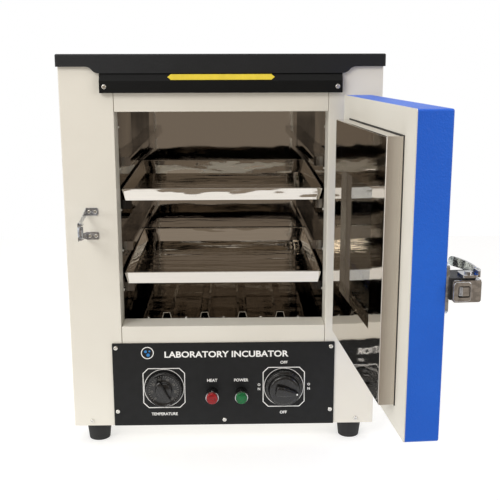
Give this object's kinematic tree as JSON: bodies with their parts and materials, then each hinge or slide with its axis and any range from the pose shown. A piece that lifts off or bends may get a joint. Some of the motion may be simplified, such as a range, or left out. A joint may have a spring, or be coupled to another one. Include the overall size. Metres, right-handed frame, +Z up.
{
  "type": "laboratory incubator",
  "caption": "Bench incubator cabinet with a hinged insulated door, viewing window, stainless chamber, sliding trays and a front control panel.",
  "frame": {"origin": "on the bench, at the centre of the pattern of the four foot recesses", "axes": "+X to the right seen from the front, -Y out of the front, +Z up; the door stands open at rest"},
  "size_m": [0.5864, 0.9503, 0.676],
  "materials": {
    "cream_paint": "satin",
    "black_paint": "satin",
    "yellow_strip": "gloss",
    "blue_paint": "satin",
    "panel_print": "satin",
    "stainless": "polished",
    "galvanised": "satin",
    "screw_steel": "polished",
    "chrome": "polished",
    "cast_black": "satin",
    "black_plastic": "gloss",
    "control_case": "matte",
    "heater_sheath": "matte",
    "red_lens": "gloss",
    "green_lens": "gloss",
    "glass": "gloss",
    "seal_rubber": "matte",
    "wool": "matte"
  },
  "bodies": {
    "cabinet": {"side_panel_left": "cream_paint", "side_panel_right": "cream_paint", "back_panel": "cream_paint", "base_panel": "cream_paint", "top_lid": "black_paint", "front_bar": "black_paint", "accent_strip": "yellow_strip", "front_frame_top": "cream_paint", "front_frame_sill": "cream_paint", "case_screws": "screw_steel", "insulation_sides": "wool", "insulation_back": "wool", "insulation_top": "wool", "insulation_bottom": "wool", "feet": "seal_rubber", "foot_screws": "screw_steel", "cable_gland": "black_plastic", "hinge_cabinet_leaves": "chrome", "hinge_pins": "screw_steel", "strike_bracket": "galvanised", "strike_roller": "galvanised", "fitting_screws": "screw_steel", "chamber_shell": "stainless", "chamber_collar": "galvanised", "chamber_screws": "screw_steel", "shelf_runners_left": "stainless", "shelf_runners_right": "stainless", "false_floor": "stainless", "heater_element": "heater_sheath", "control_panel": "panel_print", "thermostat_body": "control_case", "thermostat_capillary": "heater_sheath", "switch_body": "control_case", "lamp_holders": "black_plastic", "lamp_rings": "chrome", "lamp_cap_load": "red_lens", "lamp_cap_main": "green_lens", "terminal_block": "control_case"},
    "tray_lower": {"tray_lower": "stainless"},
    "tray_upper": {"tray_upper": "stainless"},
    "thermostat_dial": {"thermostat_knob": "black_plastic", "thermostat_spindle": "galvanised"},
    "rotary_switch": {"switch_knob": "black_plastic", "switch_spindle": "galvanised"},
    "door": {"door_outer_shell": "blue_paint", "door_inner_pan": "cream_paint", "door_liner": "stainless", "door_insulation": "wool", "liner_seal": "seal_rubber", "window_glass_inner": "glass", "window_glass_outer": "glass", "window_tunnel": "stainless", "window_frame": "black_plastic", "hinge_door_leaves": "chrome", "latch_base": "galvanised", "latch_body": "cast_black", "latch_cage": "galvanised", "latch_screws": "screw_steel"},
    "latch_bolt": {"latch_bolt": "chrome"},
    "latch_lever": {"latch_lever": "chrome"}
  },
  "joints": [
    {"name": "door_hinge", "type": "hinge", "parent": "cabinet", "child": "door", "pos_m": [0.2127, -0.2642, 0.405], "axis": [0, 0, 1], "range_deg": [-94, 20]},
    {"name": "lever_pivot", "type": "hinge", "parent": "door", "child": "latch_lever", "pos_m": [0.30051, -0.66976, 0.3955], "axis": [0, 0, 1], "range_deg": [0, 15]},
    {"name": "bolt_slide", "type": "slide", "parent": "door", "child": "latch_bolt", "axis": [0.0698, -0.9976, 0], "range_m": [0, 0.0065]},
    {"name": "tray_upper_slide", "type": "slide", "parent": "cabinet", "child": "tray_upper", "axis": [0, -1, 0], "range_m": [0, 0.25]},
    {"name": "tray_lower_slide", "type": "slide", "parent": "cabinet", "child": "tray_lower", "axis": [0, -1, 0], "range_m": [0, 0.25]},
    {"name": "thermostat_turn", "type": "hinge", "parent": "cabinet", "child": "thermostat_dial", "pos_m": [-0.105, -0.26, 0.1055], "axis": [0, -1, 0], "range_deg": [-45, 225]},
    {"name": "switch_turn", "type": "hinge", "parent": "cabinet", "child": "rotary_switch", "pos_m": [0.105, -0.26, 0.1055], "axis": [0, -1, 0], "continuous": true}
  ],
  "couplings": [
    {"joint": "bolt_slide", "follows": "lever_pivot", "m_per_rad": 0.024}
  ]
}
